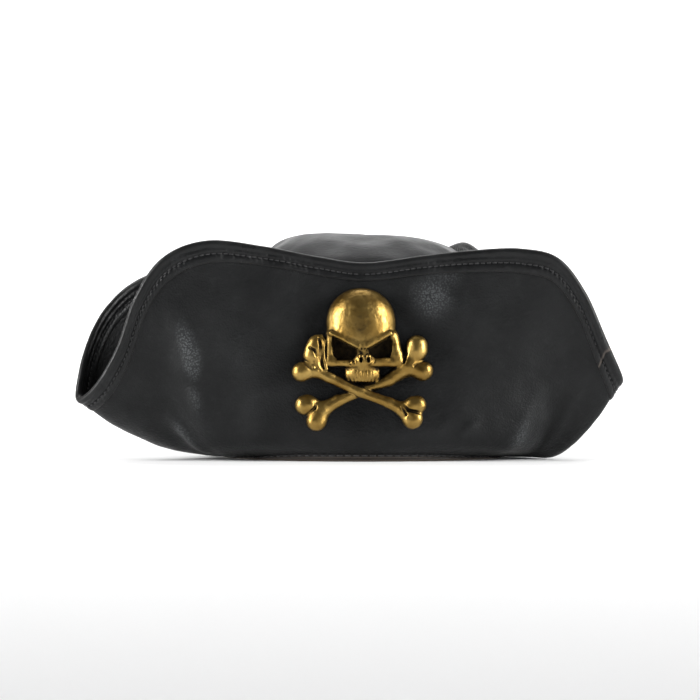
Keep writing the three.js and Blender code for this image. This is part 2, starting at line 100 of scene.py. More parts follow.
# Round the brim: the root's angle, the edge point, the flat run-out and the sag.
OUTLINE = np.array([
    (0, 0, -97, 109, 7, 0), (16, 34, -100, 113, 11, 2), (30, 64, -106, 116, 19, 9),
    (40, 88, -109, 116.5, 25, 16), (48, 107, -109, 111.5, 25, 19), (54, 122, -106, 92.5, 20, 19),
    (58, 133.5, -101, 67, 12, 18), (62, 144.5, -90, 43.5, 5, 17), (66, 139.5, -71, 52, 9, 16),
    (70, 130, -60, 73, 15, 17), (76, 117, -46, 93, 20, 16), (86, 106, -22, 105, 17, 10),
    (102, 91, 16, 111, 10, 3), (120, 76, 52, 117, 7, 0), (138, 63, 86, 127.5, 9, 3),
    (152, 49, 117, 121, 15, 11), (164, 34, 144, 104, 17, 16), (172, 20, 164, 74, 12, 15),
    (180, 1, 178, 40, 6, 13), (188, -18, 165, 73, 12, 15), (196, -33, 145, 104, 17, 16),
    (208, -48, 119, 118, 15, 11), (222, -64, 89, 118, 9, 3), (240, -80, 52, 111, 7, 0),
    (258, -98, 16, 108, 10, 3), (273, -118, -20, 107, 15, 9), (283, -136, -44, 98, 16, 12),
    (289, -149, -61, 82, 14, 11), (294, -158, -75, 59, 10, 9), (298, -161, -86, 35, 5, 7),
    (303, -150, -97, 41, 10, 9), (307, -136.5, -104, 63, 16, 13), (312, -126, -109, 91, 22, 17),
    (319, -111, -112, 112, 25, 18), (328, -88, -111, 121, 20, 11), (340, -57, -105, 118, 12, 3),
    (350, -27, -99, 112.5, 8, 1),
], float)
STATIONS = len(OUTLINE)
JOINT_T = 6.15 / STATIONS  # where the two ends of the binding overlap
# Folds in the leather: where each starts and ends as (station, share of the wall's height), its half
# width and its height out of the wall.
FOLDS = [
    ((32.7, 0.06), (33.0, 0.5), 4.0, 3.4), ((32.2, 0.1), (31.6, 0.5), 4.5, 2.6),
    ((33.2, 0.5), (33.1, 0.82), 7.0, 2.8), ((34.0, 0.8), (34.1, 0.92), 2.2, -0.7),
    ((33.6, 0.1), (34.3, 0.45), 6.0, -1.0),
    ((0.72, 0.68), (1.35, 0.9), 13.0, 3.4), ((1.7, 0.12), (2.1, 0.26), 2.6, 0.9),
    ((1.3, 0.15), (1.5, 0.24), 2.2, 0.7), ((3.2, 0.12), (3.9, 0.5), 6.0, 1.8),
    ((5.2, 0.2), (4.6, 0.55), 5.0, -1.0), ((6.2, 0.3), (5.8, 0.7), 4.0, 0.8),
    ((9.2, 0.3), (10.2, 0.7), 5.0, 1.0), ((11.0, 0.2), (11.6, 0.6), 6.0, -1.0),
    ((13.0, 0.3), (13.4, 0.75), 9.0, 1.2), ((15.2, 0.2), (15.6, 0.6), 5.0, 1.1),
    ((17.0, 0.35), (16.4, 0.75), 4.0, -0.8), ((19.2, 0.3), (20.2, 0.7), 5.0, 1.0),
    ((21.3, 0.2), (21.8, 0.65), 6.0, -1.0), ((23.0, 0.3), (23.3, 0.75), 9.0, 1.2),
    ((25.4, 0.2), (25.8, 0.6), 5.0, 1.0), ((27.3, 0.3), (27.0, 0.7), 4.5, -0.8),
]


def to_scene(points):
    """Hat millimetres to metres in the model's frame."""
    return np.asarray(points, float) * MM + ORIGIN


# ---- Shapes as arrays -----------------------------------------------------------------------------
def around(values, t, turn=0.0):
    """The Catmull-Rom value at t, 0 to 1 round a closed list; turn is what one round adds."""
    n = len(values)
    at = (t % 1.0) * n
    i = np.floor(at).astype(int)
    f = at - i
    a, b, c, d = [values[(i + k) % n] + turn * np.floor_divide(i + k, n) for k in (-1, 0, 1, 2)]
    return b + 0.5 * f * (c - a + f * (2 * a - 5 * b + 4 * c - d + f * (3 * (b - c) + d - a)))


def noise(points, scale, seed=0):
    """Smooth noise from -1 to 1; scale is the size of its lumps."""
    p = np.asarray(points, float) / scale + 17.3 * seed
    i = np.floor(p)
    f = p - i
    u = f * f * (3 - 2 * f)
    total = np.zeros(p.shape[:-1])
    for dx in (0, 1):
        for dy in (0, 1):
            for dz in (0, 1):
                corner = i + (dx, dy, dz)
                value = np.sin(corner @ np.array([127.1, 311.7, 74.7]) + seed * 13.7) * 43758.5453
                weight = 1.0
                for k, d in enumerate((dx, dy, dz)):
                    weight = weight * (u[..., k] if d else 1 - u[..., k])
                total += weight * (2 * (value - np.floor(value)) - 1)
    return total


def unit(v):
    return v / np.maximum(np.linalg.norm(v, axis=-1, keepdims=True), 1e-9)


def smoothstep(low, high, x):
    u = np.clip((x - low) / (high - low), 0, 1)
    return u * u * (3 - 2 * u)


def oval(angle, share, offset, z):
    """The crown's oval: a share of its foot's size, pushed out by offset, at a height."""
    side, ahead = np.sin(angle), np.cos(angle)
    power = HEAD_SQUARENESS
    across = np.abs(side / HEAD_HALF_WIDTH) ** power
    along = np.abs(ahead / HEAD_HALF_LENGTH) ** power
    reach = (across + along) ** (-1 / power)
    x, y = reach * side, -reach * ahead
    nx = np.sign(x) * np.abs(x / HEAD_HALF_WIDTH) ** (power - 1) / HEAD_HALF_WIDTH
    ny = np.sign(y) * np.abs(y / HEAD_HALF_LENGTH) ** (power - 1) / HEAD_HALF_LENGTH
    length = np.hypot(nx, ny)
    x = x * share + offset * nx / length
    y = y * share + offset * ny / length
    return np.stack(np.broadcast_arrays(x, y, z), -1).astype(float)


def smooth_wall(t, s):
    """The middle of the brim's leather without its folds: t round the hat, s from root to edge."""
    t, s = np.broadcast_arrays(t, s)
    angle = np.radians(around(OUTLINE[:, 0], t, 360))
    root = oval(angle, 1, BRIM_CLEARANCE + BRIM_HALF, BRIM_LOWEST)
    outward = oval(angle, 1, BRIM_CLEARANCE + BRIM_HALF + 1, BRIM_LOWEST) - root
    edge = np.stack([around(OUTLINE[:, k], t) for k in (1, 2, 3)], -1)
    turned = 1 - np.exp(-np.maximum(0, s - BRIM_FLANGE_SHARE) / BRIM_TURN_SHARE)
    run_out = around(OUTLINE[:, 4], t) * turned * (1 - s)
    middle = root + (edge - root) * s[..., None] + outward * run_out[..., None]
    above = middle[..., 2] - 4 * around(OUTLINE[:, 5], t) * s * (1 - s) - BRIM_LOWEST
    middle[..., 2] = BRIM_LOWEST + (above + np.hypot(above, BRIM_EASE)) / 2
    return middle


def wall_axes(surface, t, s):
    """Unit vectors along the edge, up the wall and out of its outer face."""
    dt, ds = 0.0008, 0.004
    high = np.minimum(s + ds, 1.0)
    low = np.maximum(high - 2 * ds, 0.0)
    along = unit(surface(t + dt, s) - surface(t - dt, s))
    up = unit(surface(t, high) - surface(t, low))
    out = unit(np.cross(along, up))
    return along, unit(np.cross(out, along)), out


def fold_height(t, s, points):
    """How far the leather's folds and slow waves stand out of the smooth wall."""
    height = 1.3 * noise(points, 42, 3) + 0.6 * noise(points, 17, 5) + 0.16 * noise(points, 6, 6)
    height = height * smoothstep(0.02, 0.2, s)
    for (t0, s0), (t1, s1), width, amount in FOLDS:
        a = smooth_wall(np.array(t0 / STATIONS), np.array(s0))
        b = smooth_wall(np.array(t1 / STATIONS), np.array(s1))
        run = b - a
        share = np.clip(((points - a) @ run) / (run @ run), 0, 1)
        away = np.linalg.norm(points - a - share[..., None] * run, axis=-1)
        swell = 0.35 + 0.65 * np.sin(math.pi * np.clip(share, 0.02, 0.98))
        height = height + amount * swell * np.exp(-(away / width) ** 2)
    behind_badge = np.exp(-((points[..., 0] / 46) ** 4 + ((points[..., 2] - 57) / 46) ** 4))
    height = height * np.where(points[..., 1] < -60, 1 - 0.85 * behind_badge, 1)
    return height


def wall(t, s):
    """The middle of the brim's leather, folds included."""
    t, s = np.broadcast_arrays(t, s)
    points = smooth_wall(t, s)
    out = wall_axes(smooth_wall, t, s)[2]
    return points + out * fold_height(t, s, points)[..., None]


def wall_point(t, s, lift, past=0.0):
    """A point lifted off the middle of the leather, and past its edge."""
    t, s, lift, past = np.broadcast_arrays(t, s, lift, past)
    _, away, out = wall_axes(wall, t, s)
    return wall(t, s) + out * lift[..., None] + away * past[..., None]


def below_edge(t, distance):
    """The share of the wall's height that lies distance below its edge."""
    height = np.linalg.norm(smooth_wall(t, np.ones_like(t)) - smooth_wall(t, np.zeros_like(t)), axis=-1)
    return 1 - distance / height


def even_steps(count):
    """Values of t evenly spaced along the brim's edge, and the edge's length."""
    t = np.linspace(0, 1, 4001)
    edge = smooth_wall(t, np.ones_like(t))
    run = np.concatenate([[0], np.cumsum(np.linalg.norm(np.diff(edge, axis=0), axis=1))])
    return np.interp(np.linspace(0, run[-1], count, endpoint=False), run, t), run[-1]


# ---- Meshes ---------------------------------------------------------------------------------------
def make_piece(name, points, faces, material, replaced, values=None):
    """A piece from points in hat millimetres. values are extra per-point numbers for the material."""
    data = bpy.data.meshes.new(name)
    data.from_pydata(to_scene(np.asarray(points).reshape(-1, 3)).tolist(), [], faces)
    data.validate()
    for key, numbers in (values or {}).items():
        layer = data.attributes.new(key, "FLOAT", "POINT")
        layer.data.foreach_set("value", np.asarray(numbers, float).ravel())
    data.polygons.foreach_set("use_smooth", [True] * len(data.polygons))
    piece = bpy.data.objects.new(name, data)
    bpy.context.scene.collection.objects.link(piece)
    piece.data.materials.append(material)
    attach(piece, "root")
    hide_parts(*replaced)
    return piece


def ring_faces(rounds, size, closed=True):
    """Quads of a grid of points that closes round the hat, and across too if it is closed."""
    k = np.arange(rounds)[:, None]
    j = np.arange(size if closed else size - 1)[None, :]
    a = k * size + j
    b = (k + 1) % rounds * size + j
    c = (k + 1) % rounds * size + (j + 1) % size
    d = k * size + (j + 1) % size
    return np.stack([a + 0 * j, b + 0 * j, c + 0 * k, d + 0 * k], -1).reshape(-1, 4).tolist()


def make_stitches(name, centres, along, out, length, radius, replaced):
    """Rounded stitches, each a short thread that dips into the leather at both ends."""
    shape = [
        (-0.5, 0.25, -0.9), (-0.42, 0.85, -0.2), (-0.2, 1.0, 0.35), (0.0, 1.05, 0.45),
        (0.2, 1.0, 0.35), (0.42, 0.85, -0.2), (0.5, 0.25, -0.9),
    ]
    across = np.cross(along, out)
    sides = 8
    rings = []
    for u, width, rise in shape:
        for k in range(sides):
            a = TAU * k / sides
            rings.append(centres + along * (u * length) + out * (radius * (rise + width * math.sin(a)))
                         + across * (radius * width * math.cos(a)))
    points = np.stack(rings, 1)
    faces = []
    for n in range(len(centres)):
        base = n * len(shape) * sides
        for i in range(len(shape) - 1):
            for k in range(sides):
                a, b = base + i * sides + k, base + i * sides + (k + 1) % sides
                faces.append((a, b, b + sides, a + sides))
        faces.append(tuple(base + k for k in range(sides))[::-1])
        faces.append(tuple(base + (len(shape) - 1) * sides + k for k in range(sides)))
    make_piece(name, points, faces, THREAD, replaced)


# ---- Materials ------------------------------------------------------------------------------------
class Nodes:
    """A small helper that builds a node material."""

    def __init__(self, name):
        self.material = bpy.data.materials.new(name)
        self.material.use_nodes = True
        self.tree = self.material.node_tree
        self.shader = self.tree.nodes["Principled BSDF"]
        self.place = self.add("ShaderNodeTexCoord").outputs["Object"]

    def add(self, kind, **values):
        node = self.tree.nodes.new(kind)
        for key, value in values.items():
            setattr(node, key, value)
        return node

    def link(self, out, into):
        self.tree.links.new(out, into)

    def noise(self, scale, detail=3, stretch=None):
        node = self.add("ShaderNodeTexNoise")
        node.inputs["Scale"].default_value = scale
        node.inputs["Detail"].default_value = detail
        if stretch:
            mapping = self.add("ShaderNodeMapping")
            mapping.inputs["Scale"].default_value = stretch
            self.link(self.place, mapping.inputs["Vector"])
            self.link(mapping.outputs["Vector"], node.inputs["Vector"])
        else:
            self.link(self.place, node.inputs["Vector"])
        return node.outputs["Fac"]

    def cells(self, scale, feature="F1"):
        node = self.add("ShaderNodeTexVoronoi", feature=feature)
        node.inputs["Scale"].default_value = scale
        self.link(self.place, node.inputs["Vector"])
        return node.outputs["Distance"]

    def ramp(self, value, *stops):
        node = self.add("ShaderNodeValToRGB")
        ramp = node.color_ramp
        while len(ramp.elements) < len(stops):
            ramp.elements.new(0.5)
        for element, (position, colour) in zip(ramp.elements, stops):
            element.position = position
            element.color = (*colour, 1) if isinstance(colour, tuple) else (colour, colour, colour, 1)
        self.link(value, node.inputs["Fac"])
        return node.outputs["Color"]

    def maths(self, operation, a, b=None):
        node = self.add("ShaderNodeMath", operation=operation)
        for socket, value in zip(node.inputs, (a, b)):
            if value is None:
                continue
            if isinstance(value, (int, float)):
                socket.default_value = value
            else:
                self.link(value, socket)
        return node.outputs["Value"]

    def attribute(self, name):
        return self.add("ShaderNodeAttribute", attribute_name=name).outputs["Fac"]

    def bump(self, height, strength, distance, under=None):
        node = self.add("ShaderNodeBump")
        node.inputs["Strength"].default_value = strength
        node.inputs["Distance"].default_value = distance
        self.link(height, node.inputs["Height"])
        if under is not None:
            self.link(under, node.inputs["Normal"])
        return node.outputs["Normal"]

    def set(self, **values):
        for key, value in values.items():
            socket = self.shader.inputs[key.replace("_", " ")]
            if isinstance(value, (int, float)):
                socket.default_value = value
            elif isinstance(value, tuple):
                socket.default_value = (*value, 1)
            else:
                self.link(value, socket)


def mixed(nodes, factor, a, b, blend="MIX"):
    """A colour mix with the colour sockets of a Mix node chosen by place."""
    node = nodes.add("ShaderNodeMix", data_type="RGBA", blend_type=blend)
    sockets = (node.inputs[0], node.inputs[6], node.inputs[7])
    for socket, value in zip(sockets, (factor, a, b)):
        if isinstance(value, (int, float)):
            socket.default_value = value
        elif isinstance(value, tuple):
            socket.default_value = (*value, 1)
        else:
            nodes.link(value, socket)
    return node.outputs[2]


def leather(name, dark, light, rough_low, rough_high, grain=1.0, worn=(0.11, 0.09, 0.075), specular=0.35):
    """Dyed leather: a pebble grain, finer pores, slow changes of tone, worn or cut edges, and a painted
    highlight where the brim's folds stand out.
    """
    n = Nodes(name)
    tone = n.ramp(n.noise(38, 5), (0.32, dark), (0.7, light))
    pores = n.ramp(n.noise(2300, 2), (0.38, 0.72), (0.6, 1.0))
    colour = mixed(n, 1.0, tone, pores, "MULTIPLY")
    scuffs = n.ramp(n.noise(210, 6), (0.56, 0.0), (0.8, 1.0))
    colour = mixed(n, n.maths("MULTIPLY", scuffs, 0.16), colour, tuple(2.6 * c for c in light))
    gloss_and_painted_highlight = n.attribute("gloss_and_painted_highlight")
    highlight_grains = n.ramp(n.cells(950, "F1"), (0.15, 1.0), (0.6, 0.22))
    # Painted highlight: the colour is lightened in grainy patches where the brim's folds stand out.
    colour = mixed(n, n.maths("MULTIPLY", gloss_and_painted_highlight, highlight_grains), colour, tuple(6.5 * c for c in light))
    colour = mixed(n, n.attribute("worn"), colour, worn)
    rough = n.ramp(n.noise(95, 5), (0.3, rough_low), (0.72, rough_high))
    rough = n.maths("SUBTRACT", rough, n.maths("MULTIPLY", gloss_and_painted_highlight, 0.12))
    pebble = n.bump(n.cells(1150, "SMOOTH_F1"), 0.5 * grain, 0.00022)
    crease = n.bump(n.noise(420, 6, (1.0, 1.0, 1.6)), 0.32 * grain, 0.0005, pebble)
    fine = n.bump(n.noise(3800, 2), 0.25 * grain, 0.00008, crease)
    n.set(Base_Color=colour, Roughness=rough, Normal=fine)
    n.shader.inputs["Specular IOR Level"].default_value = specular
    return n.material


def cloth_material(name, dark, light):
    n = Nodes(name)
    weave = n.add("ShaderNodeTexWave", wave_type="BANDS", bands_direction="DIAGONAL")
    weave.inputs["Scale"].default_value = 420
    weave.inputs["Distortion"].default_value = 1.2
    n.link(n.place, weave.inputs["Vector"])
    tone = n.ramp(n.noise(60, 4), (0.3, dark), (0.7, light))
    colour = mixed(n, 0.35, tone, n.ramp(weave.outputs["Fac"], (0.2, dark), (0.8, light)))
    n.set(Base_Color=colour, Roughness=n.ramp(n.noise(300, 3), (0.3, 0.62), (0.7, 0.85)),
          Normal=n.bump(weave.outputs["Fac"], 0.4, 0.0002))
    n.shader.inputs["Sheen Weight"].default_value = 0.25
    return n.material


def thread_material():
    n = Nodes("waxed_black_thread")
    wave = n.add("ShaderNodeTexWave", wave_type="BANDS", bands_direction="DIAGONAL")
    wave.inputs["Scale"].default_value = 900
    n.link(n.place, wave.inputs["Vector"])
    n.set(Base_Color=n.ramp(n.noise(900, 3), (0.3, (0.006, 0.006, 0.007)), (0.7, (0.02, 0.02, 0.021))),
          Roughness=n.ramp(n.noise(500, 2), (0.3, 0.4), (0.7, 0.6)),
          Normal=n.bump(wave.outputs["Fac"], 0.6, 0.0002))
    return n.material


def brass_material():
    """Cast brass, rubbed bright on what stands out, nearly black with patina in the hollows, and darkened by
    painted shade at its rims.
    """
    n = Nodes("antique_brass")
    bright = n.ramp(n.noise(130, 5), (0.3, (0.27, 0.17, 0.045)), (0.72, (0.42, 0.28, 0.085)))
    blotches = n.ramp(n.noise(75, 6), (0.32, (0.62, 0.56, 0.46)), (0.62, (1.0, 1.0, 1.0)))
    bright = mixed(n, 1.0, bright, blotches, "MULTIPLY")
    patina = n.ramp(n.noise(340, 5), (0.3, (0.006, 0.005, 0.004)), (0.75, (0.03, 0.021, 0.011)))
    stain = n.maths("MULTIPLY", n.ramp(n.noise(260, 6), (0.5, 0.0), (0.78, 1.0)), 0.3)
    # Patina in the hollows and painted shade at the rims darken the brass here.
    patina_and_painted_shade = n.ramp(n.maths("ADD", n.attribute("patina_and_painted_shade"), stain), (0.1, 0.0), (0.62, 1.0))
    rough = mixed(n, patina_and_painted_shade, n.ramp(n.noise(420, 4), (0.3, 0.29), (0.7, 0.42)), (0.62, 0.62, 0.62))
    pits = n.bump(n.noise(1500, 4), 0.3, 0.00014, n.bump(n.noise(260, 4), 0.45, 0.0005))
    n.set(Base_Color=mixed(n, patina_and_painted_shade, bright, patina), Roughness=rough, Normal=pits)
    n.shader.inputs["Metallic"].default_value = 1.0
    return n.material


def steel_material():
    n = Nodes("plated_steel")
    n.set(Base_Color=n.ramp(n.noise(300, 5), (0.3, (0.30, 0.30, 0.31)), (0.75, (0.50, 0.50, 0.51))),
          Roughness=n.ramp(n.noise(900, 4), (0.3, 0.25), (0.7, 0.45)),
          Normal=n.bump(n.noise(2600, 3), 0.2, 0.0001))
    n.shader.inputs["Metallic"].default_value = 1.0
    return n.material


BLACK = leather("black_leather", (0.0062, 0.0066, 0.0069), (0.0118, 0.0124, 0.0128),
                0.34, 0.47, 1.5, specular=0.17)
CROWN_BLACK = leather("crown_leather", (0.0055, 0.0058, 0.0061), (0.0100, 0.0104, 0.0108),
                      0.36, 0.5, 0.9, specular=0.2)
BINDING_BLACK = leather("binding_leather", (0.0055, 0.0058, 0.0061), (0.0110, 0.0115, 0.0119),
                        0.27, 0.40, 1.2, specular=0.22)
BROWN = leather("sweatband_leather", (0.045, 0.024, 0.014), (0.085, 0.048, 0.028), 0.5, 0.7, 0.6)
CLOTH = cloth_material("lining_cloth", (0.010, 0.010, 0.011), (0.026, 0.026, 0.028))
THREAD = thread_material()
BRASS = brass_material()
STEEL = steel_material()


# ---- The brim, its binding and their stitches -------------------------------------------------------
def make_brim():
    t = even_steps(BRIM_ROUNDS)[0][:, None]
    near_root = 16
    s = np.concatenate([np.linspace(0, 0.12, near_root, endpoint=False),
                        np.linspace(0.12, 1, BRIM_ROWS - near_root)])[None, :]
    outer = wall_point(t, s, BRIM_HALF)
    inner = wall_point(t, s, -BRIM_HALF)
    points = np.concatenate([outer, inner[:, ::-1]], axis=1)
    # The cut edge at the root shows undyed fibre.
    worn_rows = np.concatenate([np.exp(-s / 0.008), np.exp(-s[:, ::-1] / 0.008)], axis=1)
    worn = np.repeat(worn_rows * 0.7, BRIM_ROUNDS, axis=0)
    # The leather is rubbed glossy where its folds stand out, and painted lighter there in grainy patches as
    # a painted highlight.
    smooth = smooth_wall(*np.broadcast_arrays(t, s))
    raised = fold_height(t, s, smooth)
    highlight_patches = smoothstep(0.3, 1.4, noise(smooth, 26, 9) + 0.3 * raised)
    gloss_and_painted_highlight = smoothstep(0.7, 2.6, raised) + 0.25 * highlight_patches
    gloss_and_painted_highlight = gloss_and_painted_highlight * smoothstep(0.03, 0.2, s) * smoothstep(1.0, 0.93, s)
    gloss_and_painted_highlight = np.clip(np.concatenate([gloss_and_painted_highlight, gloss_and_painted_highlight[:, ::-1]], axis=1), 0, 1)
    make_piece("brim_leather", points, ring_faces(BRIM_ROUNDS, points.shape[1]), BLACK,
               ("brim",), {"worn": worn, "gloss_and_painted_highlight": gloss_and_painted_highlight})


def binding_profile():
    """One leg of the binding from its cut edge to the fold: distance below the edge, and lift."""
    return [
        (7.35, 0.66), (7.4, 0.95), (7.28, 1.22), (7.0, 1.36), (6.5, 1.44), (5.9, 1.5), (5.3, 1.5),
        (4.8, 1.42), (4.4, 1.25), (4.05, 1.05), (3.8, 0.93), (3.6, 0.9), (3.4, 0.93), (3.1, 1.08),
        (2.7, 1.32), (2.3, 1.48), (1.9, 1.5), (1.5, 1.44), (1.1, 1.4), (0.7, 1.48), (0.3, 1.72),
        (-0.1, 1.94), (-0.5, 2.08),
    ]


def make_binding():
    _, length = even_steps(1)
    rounds = int(length / 0.9)
    t = even_steps(rounds)[0][:, None]
    run = np.arange(rounds)[:, None] * length / rounds
    roll = [(-ROLL_OUT - ROLL_RADIUS * math.cos(a), ROLL_RADIUS * math.sin(a))
            for a in np.radians([68, 45, 22, 0])]
    half = binding_profile() + roll
    profile = np.array(half + [(d, -lift) for d, lift in half[-2::-1]])
    distance, lift = profile[None, :, 0], profile[None, :, 1]
    s = below_edge(t, np.maximum(distance, 0))
    # The thread pulls the leather in at each hole, and the leather puckers between the holes.
    beat = np.cos(TAU * run / STITCH_PITCH)
    pull = np.exp(-((distance - SEAM_DEPTH) / 0.6) ** 2) * (0.05 + 0.55 * smoothstep(0.2, 1.0, beat))
    leg_zone = smoothstep(7.4, 6.2, distance) * smoothstep(-0.5, 1.0, distance)
    base = smooth_wall(t, np.clip(s, 0, 1))
    slow = noise(base, 9, 11) * 0.16 + noise(base, 4.2, 12) * 0.10
    # It puckers most over the high left corner of the front wall.
    lobe = np.exp(-(((t * STATIONS - 34.3) + 18.5) % STATIONS - 18.5) ** 2 / 1.6)
    pucker = (noise(base, 3.4, 14) * (0.12 + 0.35 * lobe) + 0.10 * (0.15 - beat)) * leg_zone
    # The strip's ends overlap at one place, where the outer end stands proud and is cut square.
    past_joint = run - np.interp(JOINT_T, t[:, 0], run[:, 0])
    layer = smoothstep(-13.0, -4.0, past_joint) * (1 - smoothstep(-0.1, 0.7, past_joint))
    rise = 0.85 * layer * smoothstep(-3.0, 0.5, distance)
    sign = np.sign(lift)
    outside = smoothstep(-0.2, 0.8, lift)
    move = (slow * leg_zone + pucker - pull) + rise * outside
    lifted = np.where(np.abs(lift) > 0.85, sign * np.maximum(np.abs(lift) + move, 0.5), lift)
    points = wall_point(t, np.clip(s, 0, 1), lifted, np.maximum(-distance, 0))
    cut = smoothstep(7.1, 7.35, distance) * 0.06
    cut_end = np.exp(-((past_joint - 0.3) / 0.55) ** 2) * outside * 0.95
    rubbed = 0.05 * smoothstep(-1.6, -3.0, distance) * (0.5 + 0.5 * noise(base, 6, 15))
    worn = np.clip(np.maximum(cut, cut_end) + rubbed, 0, 1)
    make_piece("edge_binding_strip", points, ring_faces(rounds, len(profile), closed=False), BINDING_BLACK,
               ("edge_binding",), {"worn": worn})


def make_wire():
    """The wire inside the roll of the binding."""
    sides = 8
    t = even_steps(BRIM_ROUNDS)[0][:, None]
    a = np.linspace(0, TAU, sides, endpoint=False)[None, :]
    points = wall_point(t, 1.0, WIRE_RADIUS * np.sin(a), ROLL_OUT + WIRE_RADIUS * np.cos(a))
    make_piece("edge_wire_core", points, ring_faces(BRIM_ROUNDS, sides), STEEL, ("edge_wire",))


def make_binding_stitches():
    _, length = even_steps(1)
    count = int(round(length / STITCH_PITCH))
    t = even_steps(count)[0]
    half_step = 0.5 * (np.roll(t, -1) - t) % 1.0
    s = below_edge(t, SEAM_DEPTH)
    along, _, out = wall_axes(wall, t, s)
    for name, side, node in (("binding_stitches_outer", 1, "binding_thread_outer"),
                             ("binding_stitches_inner", -1, "binding_thread_inner")):
        centres = wall_point(t + half_step, s, side * 1.0)
        make_stitches(name, centres, along, out * side, 2.5, 0.36, (node,))


def make_foot_stitches():
    """The seam through the brim's root, the crown and the sweatband."""
    circuit = np.linspace(0, 1, 3001)
    line = smooth_wall(circuit, np.full(3001, FOOT_SEAM_SHARE))
    run = np.concatenate([[0], np.cumsum(np.linalg.norm(np.diff(line, axis=0), axis=1))])
    count = int(run[-1] / FOOT_STITCH_PITCH)
    t = np.interp(np.arange(count) * run[-1] / count, run, circuit)
    s = np.full(count, FOOT_SEAM_SHARE)
    along, _, out = wall_axes(wall, t, s)
    centres = wall_point(t, s, BRIM_HALF + 0.22)
    make_stitches("foot_stitches", centres, along, out, 3.4, 0.42, ("foot_thread",))


# ---- The crown --------------------------------------------------------------------------------------
def crown_share(z):
    rows = BAND_PROFILE[:-1] + TIP_PROFILE
    return np.interp(z, [r[0] for r in rows], [r[1] for r in rows])


def shell(name, angles, rows, thick, material, node, bumps, worn_foot=0.0):
    """A closed shell round the crown from rows of (height, share), foot first."""
    angle = angles[:, None]
    z = np.array([r[0] for r in rows])[None, :]
    share = np.array([r[1] for r in rows])[None, :]
    faces = []
    for depth in (0.0, thick):
        fade = np.minimum(1, share * 1.3)
        drop = np.where(share < 0.8, depth * np.sqrt(np.clip(1 - share / 0.8, 0, 1)), 0)
        faces.append(oval(angle, share, -depth * fade, z - drop + 0 * angle))
    move = bumps(faces[0])
    normal = unit(faces[0] - faces[0].mean(axis=(0, 1)) * [1, 1, 0.2])
    faces = [face + normal * move[..., None] for face in faces]
    points = np.concatenate([faces[0], faces[1][:, ::-1]], axis=1)
    foot = np.exp(-(z - z.min()) / 0.9) * worn_foot + 0 * angle
    worn = np.concatenate([foot, foot[:, ::-1]], axis=1)
    quads = ring_faces(len(angles), points.shape[1])
    return make_piece(name, points, quads, material, (node,), {"worn": worn})


def spline_rows(profile, count):
    """A profile of (height, share) as a smooth curve of count rows."""
    p = np.array(profile, float)
    scaled = p * [1, 90]
    run = np.concatenate([[0], np.cumsum(np.linalg.norm(np.diff(scaled, axis=0), axis=1))])
    at = np.linspace(0, run[-1], count)
    slopes = np.gradient(p, run, axis=0)
    i = np.clip(np.searchsorted(run, at, "right") - 1, 0, len(p) - 2)
    h = (run[i + 1] - run[i])[:, None]
    u = ((at - run[i])[:, None]) / h
    return ((2 * u**3 - 3 * u**2 + 1) * p[i] + (u**3 - 2 * u**2 + u) * h * slopes[i]
            + (-2 * u**3 + 3 * u**2) * p[i + 1] + (u**3 - u**2) * h * slopes[i + 1])


def crown_bumps(p):
    """How the crown's leather stands out of or into its smooth shape; lining and sweatband follow it."""
    z = p[..., 2]
    side = (1.1 * noise(p, 30, 21) + 0.5 * noise(p, 11, 22)) * smoothstep(6, 30, z) * smoothstep(101, 92, z)
    lumps = 1.5 * noise(p, 34, 24) + 0.7 * noise(p, 14, 25) - 0.4
    dent = -2.6 * np.exp(-((p[..., 0] + 3) / 26) ** 2 - ((p[..., 1] + 58) / 22) ** 2)
    edge = 0.9 * np.exp(-((z - 124) / 5) ** 2) * noise(p, 18, 26)
    foot = 0.5 * smoothstep(3.6, 1.6, z)
    return foot + side + (lumps + dent + edge) * smoothstep(102, 110, z)


def make_crown():
    angles = np.linspace(0, TAU, 300, endpoint=False)
    shell("crown_band_leather", angles, spline_rows(BAND_PROFILE, 56), CROWN_LEATHER, CROWN_BLACK,
          "crown_band", crown_bumps, 0.9)
    rows = [tuple(r) for r in spline_rows([(101.4, 0.842)] + TIP_PROFILE[1:], 60)]
    rows += [(131.85 - 0.3 * k / 8, 0.33 * (1 - k / 8)) for k in range(1, 8)]
    # Rows close to the middle keep its shading smooth.
    rows += [(131.505, 0.012), (131.502, 0.004), (131.5, 0.0006)]
    shell("crown_tip_leather", angles, rows, CROWN_LEATHER, CROWN_BLACK, "crown_tip",
          crown_bumps)
    seam_z, seam_lift = 102.6, 0.35
    around_tip = np.linspace(0, TAU, TIP_STITCHES, endpoint=False)
    centres = oval(around_tip, crown_share(seam_z), seam_lift, seam_z)
    ahead = oval(around_tip + 0.01, crown_share(seam_z), seam_lift, seam_z)
    along = unit(ahead - centres)
    out = unit(oval(around_tip, crown_share(seam_z), seam_lift + 1, seam_z + 0.4) - centres)
    make_stitches("crown_tip_stitches", centres, along, out, 3.2, 0.42, ("crown_tip_thread",))


